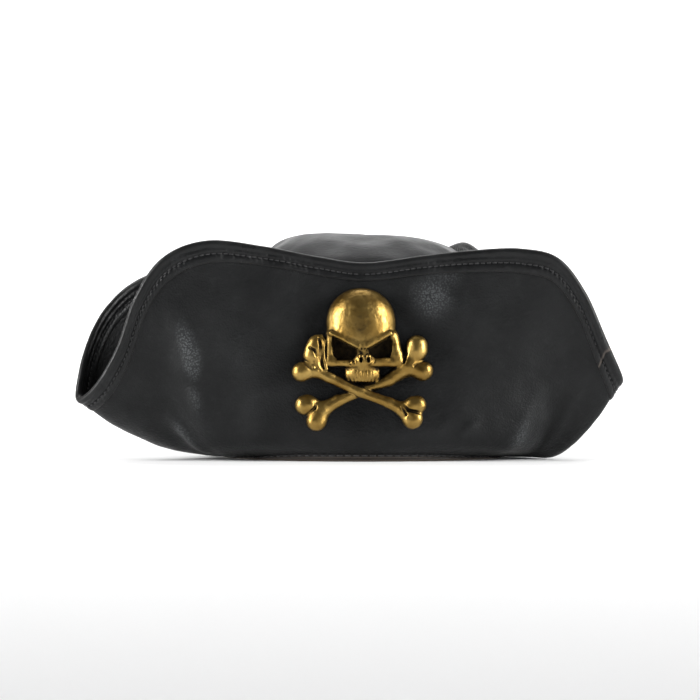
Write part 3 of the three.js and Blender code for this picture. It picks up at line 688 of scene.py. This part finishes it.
def make_inside():
    angles = np.linspace(0, TAU, 240, endpoint=False)
    under_tip = 1.6

    def gathers(p):
        turn = np.arctan2(p[..., 0], -p[..., 1])
        folds = 0.35 * np.sin(turn * 46 + 2 * noise(p, 30, 31)) * smoothstep(70, 118, p[..., 2])
        clear = 0.1 + 0.75 * smoothstep(32, 46, p[..., 2])
        above = np.array([0, 0, under_tip]) * smoothstep(98, 103, p[..., 2:])
        return crown_bumps(p + above) + folds - clear

    wall_rows = [(5, 0.996), (20, 0.985), (55, 0.94), (80, 0.9), (99, 0.852)]
    inset = LINING_INSET / MEAN_HALF_HEAD
    profile = [(z - (under_tip if z > 101 else 0), share - inset * min(1, share * 1.3))
               for z, share in wall_rows + TIP_PROFILE[1:]]
    rows = [tuple(r) for r in spline_rows(profile, 80)]
    last_z, last_share = rows[-1]
    rows += [(last_z - 0.3 * k / 6, last_share * (1 - k / 6)) for k in range(1, 6)] + [(last_z - 0.4, 0.004)]
    lining = shell("lining_cap", angles, rows, LINING_CLOTH, CLOTH, "lining", gathers)

    def wave(p):
        return crown_bumps(p) + 0.12 * noise(p, 16, 33) - 0.25

    inset = SWEATBAND_INSET / MEAN_HALF_HEAD
    rows = [(z, float(crown_share(z)) - inset) for z in np.linspace(0.3, SWEATBAND_HEIGHT, 30)]
    shell("sweatband_leather", angles, rows, SWEATBAND_LEATHER, BROWN, "sweatband",
          wave, 0.3)


# ---- The badge --------------------------------------------------------------------------------------
VOXEL = 0.42
# The eye holes as (x, z) corners.
EYES = (
    [(-17.2, 12.9), (-3.4, 5.6), (-3.1, 2.6), (-5.9, -1.0), (-15.2, -0.7), (-17.4, 2.4), (-17.8, 8.7)],
    [(14.4, 12.7), (1.9, 5.4), (2.5, 2.4), (6.2, -0.2), (15.0, 0.6), (16.0, 4.4), (16.0, 10.6)],
)
# The openings under the cheekbones and under the teeth.
OPENINGS = (
    [(-20.2, -4.3), (-14.9, -3.9), (-10.2, -4.1), (-9.6, -6.2), (-11.3, -9.2), (-14.5, -9.4), (-18.4, -6.6)],
    [(8.4, -4.6), (11.8, -4.1), (18.4, -4.3), (17.0, -6.8), (12.6, -9.2), (9.6, -9.4), (8.0, -7.0)],
    [(-5.4, -12.9), (7.2, -12.9), (5.4, -15.0), (1.8, -15.9), (-2.8, -15.2)],
)
# The bones' middles as (x, z, share of the radius), and their knuckles as bone_field() takes them.
FRONT_BONE = [(-27.0, -6.2, 1.25), (-19.0, -10.2, 1.0), (-2.0, -18.2, 0.96), (14.0, -24.2, 1.0),
              (22.6, -28.2, 1.45)]
FRONT_KNUCKLES = [(-34.4, -6.8, 5.9, 5.3, 60), (-27.8, 5.6, 8.4, 4.9, 20), (29.0, -25.4, 6.0, 5.0, 80),
                  (27.4, -33.2, 5.9, 5.4, 20)]
REAR_BONE = [(-23.6, -28.2, 1.45), (-14.5, -23.0, 1.0), (1.0, -16.4, 0.94), (14.0, -11.4, 1.05),
             (25.0, -3.4, 1.75)]
REAR_KNUCKLES = [(-32.2, -25.2, 6.3, 5.4, 75), (-26.4, -34.0, 6.0, 5.5, 15), (29.6, 6.4, 7.4, 6.0, 4),
                 (33.2, -6.4, 5.6, 5.1, 50)]
# The lines cut into the knuckles: (x, z) points, how far out they lie, and their radius.
FRONT_GROOVES = (
    ([(22.0, -25.2), (24.6, -28.4), (31.6, -30.2)], 9.2, 0.75),
    ([(21.0, -26.4), (23.6, -31.0)], 9.0, 0.6),
    ([(-35.6, -0.9), (-32.4, -2.2), (-29.6, -4.8)], 9.4, 0.85),
    ([(-32.6, 6.0), (-30.2, 6.6), (-27.6, 5.0), (-26.4, 2.0)], 9.5, 0.6),
    ([(-27.8, -1.6), (-26.6, -4.6), (-24.6, -6.2)], 9.2, 0.65),
    ([(-25.0, 11.6), (-24.2, 7.0), (-24.4, 1.6), (-22.6, -4.4)], 8.6, 0.7),
)
REAR_GROOVES = (
    ([(28.4, -3.6), (31.6, -0.8), (35.4, 0.4)], 7.9, 0.7),
    ([(22.6, 8.2), (23.4, 3.0), (22.4, -1.6)], 6.8, 0.8),
    ([(-26.4, -22.6), (-27.2, -27.2), (-31.0, -30.4)], 7.4, 0.75),
)
# The thin edge of the curled knuckle beside the skull.
CURL_RIM = [(-27.0, 12.9), (-23.6, 13.0), (-22.0, 10.6), (-22.6, 5.8), (-22.4, 0.6), (-20.8, -5.4)]


def smin(a, b, k):
    h = np.clip(0.5 + 0.5 * (b - a) / k, 0, 1)
    return b + (a - b) * h - k * h * (1 - h)


def smax(a, b, k):
    return -smin(-a, -b, k)


def outline_distance(corners, x, z):
    """The signed distance in the flat from points to a closed outline of (x, z) corners, negative inside."""
    points = np.array(corners, float)
    best = np.full(np.shape(x), 1e9)
    sign = np.ones(np.shape(x))
    for k in range(len(points)):
        a, e = points[k], points[k - 1] - points[k]
        wx, wz = x - a[0], z - a[1]
        share = np.clip((wx * e[0] + wz * e[1]) / (e @ e), 0, 1)
        best = np.minimum(best, (wx - e[0] * share) ** 2 + (wz - e[1] * share) ** 2)
        c1, c2, c3 = z >= a[1], z < points[k - 1][1], e[0] * wz > e[1] * wx
        sign = np.where((c1 & c2 & c3) | (~c1 & ~c2 & ~c3), -sign, sign)
    return sign * np.sqrt(best)


class Grid:
    """A block of space in the badge's frame: x to the right, o out of its back, z up."""

    def __init__(self):
        self.low = np.array([-43.0, -1.6, -43.0])
        size = np.array([86.0, 18.0, 87.0])
        counts = (size / VOXEL).astype(int)
        axes = [self.low[k] + VOXEL * np.arange(counts[k]) for k in range(3)]
        self.x, self.o, self.z = np.meshgrid(*axes, indexing="ij", sparse=True)
        self.shape = tuple(counts)

    def ellipsoid(self, x, o, z, rx, ro, rz):
        px, po, pz = (self.x - x) / rx, (self.o - o) / ro, (self.z - z) / rz
        k0 = np.sqrt(px**2 + po**2 + pz**2)
        k1 = np.sqrt((px / rx) ** 2 + (po / ro) ** 2 + (pz / rz) ** 2) + 1e-6
        return k0 * (k0 - 1) / k1

    def rod(self, a, b, ra, rb, flat=1.0):
        """A round bar between (x, o, z) points; flat under 1 makes it shallower."""
        a, b = np.array(a, float), np.array(b, float)
        run = b - a
        px, po, pz = self.x - a[0], (self.o - a[1]) / flat, self.z - a[2]
        share = np.clip((px * run[0] + po * run[1] + pz * run[2]) / (run @ run), 0, 1)
        away = np.sqrt((px - share * run[0]) ** 2 + (po - share * run[1]) ** 2 + (pz - share * run[2]) ** 2)
        return (away - (ra + (rb - ra) * share)) * min(1, flat + 0.1)

    def bead(self, corners, out, fall, radius):
        """A raised bead round an outline; fall is how it drops away with the square of x."""
        x, z = np.broadcast_arrays(self.x[:, 0, :], self.z[:, 0, :])
        flat = (outline_distance(corners, x, z) - 0.35)[:, None, :]
        return np.hypot(flat, self.o - (out - fall * self.x**2)) - radius

    def outline(self, corners, low):
        """A straight-sided hollow above low with this (x, z) outline."""
        x, z = np.broadcast_arrays(self.x[:, 0, :], self.z[:, 0, :])
        flat = outline_distance(corners, x, z)[:, None, :]
        return smax(flat, low - self.o, 0.8)


def skull_field(g):
    """The skull as a signed distance field, hollows included."""
    f = g.ellipsoid(-1.6, -0.5, 21.2, 19.7, 14.2, 19.6)
    f = smin(f, g.ellipsoid(-1.4, -0.5, 9.5, 18.9, 12.6, 15.5), 5)
    # brow ridges, cheekbones and the bars under the eyes
    f = smin(f, g.rod((-18.2, 8.6, 14.6), (-3.2, 11.2, 6.9), 1.5, 2.2), 1.6)
    f = smin(f, g.rod((14.6, 8.6, 14.4), (1.6, 11.2, 7.4), 1.5, 2.2), 1.6)
    f = smin(f, g.rod((-18.2, 4.4, 13.0), (-18.6, 4.2, 0.0), 3.5, 3.3), 2.2)
    f = smin(f, g.rod((15.9, 4.4, 12.8), (18.4, 4.0, 1.0), 3.6, 3.9), 2.2)
    f = smin(f, g.rod((18.4, 4.0, 2.0), (19.8, 3.4, -2.2), 3.6, 2.9), 1.8)
    f = smin(f, g.rod((-19.6, 4.4, -1.9), (-4.6, 8.8, -2.2), 2.8, 2.4), 1.6)
    f = smin(f, g.rod((20.2, 4.2, -1.9), (4.6, 8.8, -2.0), 2.9, 2.4), 1.6)
    # the nose and the upper jaw
    f = smin(f, g.ellipsoid(-0.4, 8.0, -0.8, 4.9, 4.2, 5.4), 1.4)
    f = smin(f, g.ellipsoid(-0.8, 3.6, -7.6, 10.4, 6.5, 6.4), 1.6)
    for corners in EYES:
        f = smax(f, -g.outline(corners, 4.2), 0.7)
        f = smin(f, g.bead(corners, 9.5, 0.0112, 0.85), 0.7)
    for corners in OPENINGS:
        f = smax(f, -g.outline(corners, -9), 0.5)
    for x in (-1.5, 2.6):
        f = smin(f, g.rod((x, 11.2, 1.1), (x + 0.2, 10.6, -1.7), 1.75, 1.75), 0.4)
        f = smax(f, -g.ellipsoid(x, 12.8, -0.6, 0.95, 4.0, 1.5), 0.3)
    # the teeth: two rows of rounded ridges with dark gaps between them
    for k in range(9):
        x = -9.4 + 2.15 * k
        depth = 9.3 - 0.04 * (x + 0.8) ** 2
        gather = 0.93 if k % 2 else 0.96
        f = smin(f, g.rod((x, depth - 0.5, -5.6), (x * gather, depth - 0.6, -8.4), 1.0, 1.15), 0.35)
        f = smin(f, g.rod((x * gather, depth - 0.6, -9.7), (x * 0.88, depth - 1.3, -11.8), 1.1, 0.9), 0.35)
        gap = g.rod((x + 1.08, depth + 0.9, -6.2), (x * 0.9 + 1.0, depth - 0.2, -13.2), 0.24, 0.3)
        f = smax(f, -gap, 0.25)
    # wrinkles between the brows and beside the nose
    for a, b in (((-3.6, 12.2, 9.8), (-1.2, 12.0, 5.2)), ((2.2, 12.2, 9.8), (0.4, 12.0, 5.2)),
                 ((-5.6, 10.6, 1.4), (-5.2, 10.6, -3.4)), ((5.8, 10.6, 1.2), (6.0, 10.6, -3.4)),
                 ((-7.6, 9.8, -0.6), (-7.4, 9.8, -3.4))):
        f = smax(f, -g.rod(a, b, 0.42, 0.3), 0.5)
    return f


def bone_field(g, out, path, knobs, radius):
    """One long bone along (x, z, share of the radius) points, with two knuckles at each end.

    A knuckle is (x, z, half length, half width, lean), its length leaning from the upright in degrees.
    """
    f = None
    for a, b in zip(path, path[1:]):
        rod = g.rod((a[0], out, a[1]), (b[0], out, b[1]), radius * a[2], radius * b[2], 0.85)
        f = rod if f is None else smin(f, rod, 1.6)
    for k, (x, z, long, wide, lean) in enumerate(knobs):
        end = path[0] if k < 2 else path[-1]
        side, rise = math.sin(math.radians(lean)), math.cos(math.radians(lean))
        run = max(long - wide, 0.05)
        ends = [(x + way * run * side, out, z + way * run * rise) for way in (-1, 1)]
        lobe = g.rod(*ends, wide, wide, 0.88)
        neck = g.rod((end[0], out, end[1]), (x, out, z), radius * end[2], wide * 0.84, 0.85)
        f = smin(f, smin(neck, lobe, 2.4), 1.5)
    return f


def grooved(g, f, grooves):
    """The field with grooves cut along their (x, z) points."""
    for points, out, radius in grooves:
        for a, b in zip(points, points[1:]):
            f = smax(f, -g.rod((a[0], out, a[1]), (b[0], out, b[1]), radius, radius, 1.5), 0.8)
    return f


def badge_field(g):
    front = grooved(g, bone_field(g, 5.2, FRONT_BONE, FRONT_KNUCKLES, 2.85), FRONT_GROOVES)
    rear = grooved(g, bone_field(g, 3.0, REAR_BONE, REAR_KNUCKLES, 3.15), REAR_GROOVES)
    curl = None
    for a, b in zip(CURL_RIM, CURL_RIM[1:]):
        rod = g.rod((a[0], 6.6, a[1]), (b[0], 6.6, b[1]), 0.95, 0.95)
        curl = rod if curl is None else smin(curl, rod, 0.4)
    curl = smin(curl, g.rod((-24.0, 3.0, 10.0), (-22.6, 3.0, -5.0), 3.2, 3.2), 0.8)
    bones = smin(smin(front, curl, 0.5), rear, 0.5)
    f = smin(skull_field(g), bones, 0.5)
    return smax(f, -g.o, 0.5)


def surface_of(field, low):
    """Vertices and quads where the field changes sign (surface nets)."""
    inside = field < 0
    cells = tuple(n - 1 for n in field.shape)
    total = np.zeros(cells + (3,), np.float32)
    count = np.zeros(cells, np.float32)
    edges = []
    for axis in range(3):
        first = [slice(None)] * 3
        second = [slice(None)] * 3
        first[axis], second[axis] = slice(0, -1), slice(1, None)
        crossing = inside[tuple(first)] != inside[tuple(second)]
        at = np.argwhere(crossing)
        f0 = field[tuple(first)][crossing]
        f1 = field[tuple(second)][crossing]
        place = at.astype(np.float32)
        place[:, axis] += f0 / (f0 - f1)
        b, c = [k for k in range(3) if k != axis]
        for db in (0, 1):
            for dc in (0, 1):
                cell = at.copy()
                cell[:, b] -= db
                cell[:, c] -= dc
                fits = np.all((cell >= 0) & (cell < cells), axis=1)
                index = tuple(cell[fits].T)
                np.add.at(total, index, place[fits])
                np.add.at(count, index, 1)
        edges.append((axis, b, c, at, f0 < 0))
    active = count > 0
    number = np.full(cells, -1)
    number[active] = np.arange(active.sum())
    points = total[active] / count[active][:, None]
    quads = []
    for axis, b, c, at, inward in edges:
        corners = []
        for db, dc in ((1, 1), (0, 1), (0, 0), (1, 0)):
            cell = at.copy()
            cell[:, b] -= db
            cell[:, c] -= dc
            corners.append(number[tuple(cell.T)])
        quad = np.stack(corners, 1)
        swap = inward ^ (axis == 1)
        quad[swap] = quad[swap][:, ::-1]
        quads.append(quad)
    return low + points * VOXEL, np.concatenate(quads)


def sample(field, low, points):
    p = np.clip((points - low) / VOXEL, 0, np.array(field.shape) - 1.001)
    i = p.astype(int)
    f = p - i
    value = 0
    for d in range(8):
        corner = (d & 1, d >> 1 & 1, d >> 2)
        wx, wy, wz = [f[:, k] if corner[k] else 1 - f[:, k] for k in range(3)]
        value = value + wx * wy * wz * field[tuple((i + corner).T)]
    return value


def make_badge():
    g = Grid()
    field = np.broadcast_to(badge_field(g), g.shape).astype(np.float32)
    points, quads = surface_of(field, g.low)
    points = points.astype(float)
    steps = 0.5 * np.eye(3)
    slope = [sample(field, g.low, points + step) - sample(field, g.low, points - step) for step in steps]
    normal = unit(np.stack(slope, 1))
    points -= normal * sample(field, g.low, points)[:, None] * 0.8
    # How shut in each point is, which is where the patina stays; painted shade at the rims is added below.
    patina_and_painted_shade = 0
    for reach, weight in ((1.2, 0.35), (2.6, 0.4), (5.0, 0.4)):
        patina_and_painted_shade = patina_and_painted_shade + weight * np.clip(1 - sample(field, g.low, points + normal * reach) / reach, 0, 1)
    patina_and_painted_shade = np.clip(1.5 * patina_and_painted_shade - 0.14, 0, 1)
    from_eye = np.minimum(*[outline_distance(corners, points[:, 0], points[:, 2]) for corners in EYES])
    socket = smoothstep(0.3, -0.9, from_eye) * smoothstep(9.5, 7.5, points[:, 1])
    # Painted shade: darker near the back where the casting meets the leather, and where the surface turns
    # sideways.
    rim_shade = 0.75 * smoothstep(3.4, 0.6, points[:, 1]) + 0.5 * smoothstep(0.75, 0.2, normal[:, 1])
    patina_and_painted_shade = np.maximum(np.maximum(patina_and_painted_shade, 0.97 * socket), rim_shade)
    points += normal * (0.09 * noise(points, 3.0, 41) + 0.05 * noise(points, 1.3, 42))[:, None]
    # From the badge's own frame to the hat's: tilted back with the wall.
    tilt = math.radians(BADGE_TILT)
    y, z = -points[:, 1], points[:, 2]
    low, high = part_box("skull_badge")
    placed = np.stack([points[:, 0] + BADGE_X, y * math.cos(tilt) + z * math.sin(tilt),
                       z * math.cos(tilt) - y * math.sin(tilt) + BADGE_Z], 1)
    back = (low[1] - ORIGIN[1]) / MM - placed[:, 1].min()
    placed[:, 1] += back
    a, b, c = [placed[quads[:, k]] for k in range(3)]
    inside_out = np.einsum("ij,ij->i", a, np.cross(b, c)).sum() < 0
    if inside_out:
        quads = quads[:, ::-1]
    make_piece("skull_and_bones", placed, quads.tolist(), BRASS, ("skull_badge",),
               {"patina_and_painted_shade": patina_and_painted_shade})


make_brim()
make_binding()
make_wire()
make_binding_stitches()
make_foot_stitches()
make_crown()
make_inside()
make_badge()
for node in ("badge_washer_upper", "badge_washer_lower", "badge_screw_upper", "badge_screw_lower"):
    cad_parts[node].data.materials.clear()
    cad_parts[node].data.materials.append(STEEL)


# ---- Floor, light and camera ------------------------------------------------------------------------
def make_floor():
    n = Nodes("pale_floor")
    n.set(Base_Color=(0.9, 0.9, 0.9), Roughness=0.9)
    bends, back, radius, half_width = 14, 1.6, 0.9, 5.0
    profile = [(-7.0, 0.0), (back, 0.0)]
    profile += [(back + radius * math.sin(a), radius - radius * math.cos(a))
                for a in np.linspace(0, math.pi / 2, bends)[1:]]
    profile += [(back + radius, 4.0)]
    points = [(x, y, z) for y, z in profile for x in (-half_width, half_width)]
    faces = [(2 * k, 2 * k + 1, 2 * k + 3, 2 * k + 2) for k in range(len(profile) - 1)]
    data = bpy.data.meshes.new("floor")
    data.from_pydata(points, [], faces)
    data.polygons.foreach_set("use_smooth", [True] * len(data.polygons))
    floor = bpy.data.objects.new("floor", data)
    bpy.context.scene.collection.objects.link(floor)
    data.materials.append(n.material)


def add_light(name, place, target, size, power, colour=(1, 1, 1)):
    data = bpy.data.lights.new(name, "AREA")
    data.shape = "RECTANGLE"
    data.size, data.size_y = size
    data.energy = power
    data.color = colour
    light = bpy.data.objects.new(name, data)
    light.location = place
    light.rotation_euler = (Vector(target) - Vector(place)).to_track_quat("-Z", "Y").to_euler()
    bpy.context.scene.collection.objects.link(light)


make_floor()
add_light("softbox_left", (-1.5, -0.62, 0.5), (0, 0, 0.06), (0.45, 1.2), 44)
add_light("softbox_right", (1.5, -0.72, 0.55), (0, 0, 0.06), (0.45, 1.2), 44)
add_light("softbox_top", (0.0, 0.35, 1.6), (0, 0, 0.05), (1.1, 0.7), 4.5)
add_light("backdrop_light", (0.0, 0.9, 1.9), (0, 2.4, 0.6), (3.0, 0.8), 75)

world = bpy.data.worlds.new("studio")
world.use_nodes = True
world.node_tree.nodes["Background"].inputs["Color"].default_value = (0.98, 0.99, 1.0, 1)
world.node_tree.nodes["Background"].inputs["Strength"].default_value = 0.12
bpy.context.scene.world = world
bpy.context.scene.view_settings.view_transform = "Standard"

camera_data = bpy.data.cameras.new("camera")
camera = bpy.data.objects.new("camera", camera_data)
bpy.context.scene.collection.objects.link(camera)
bpy.context.scene.camera = camera
SENSOR = 36
DISTANCE = 1.6
VIEW_WIDTH = 0.39312
EYE_HEIGHT = 0.0629
front_wall_y = float(CAD_BOX[0][1]) + 0.015
camera_data.sensor_width = SENSOR
camera_data.lens = SENSOR * DISTANCE / VIEW_WIDTH
camera.location = (0.0, front_wall_y - DISTANCE, EYE_HEIGHT)
camera.rotation_euler = (math.radians(90), 0, 0)
camera_data.clip_end = 50
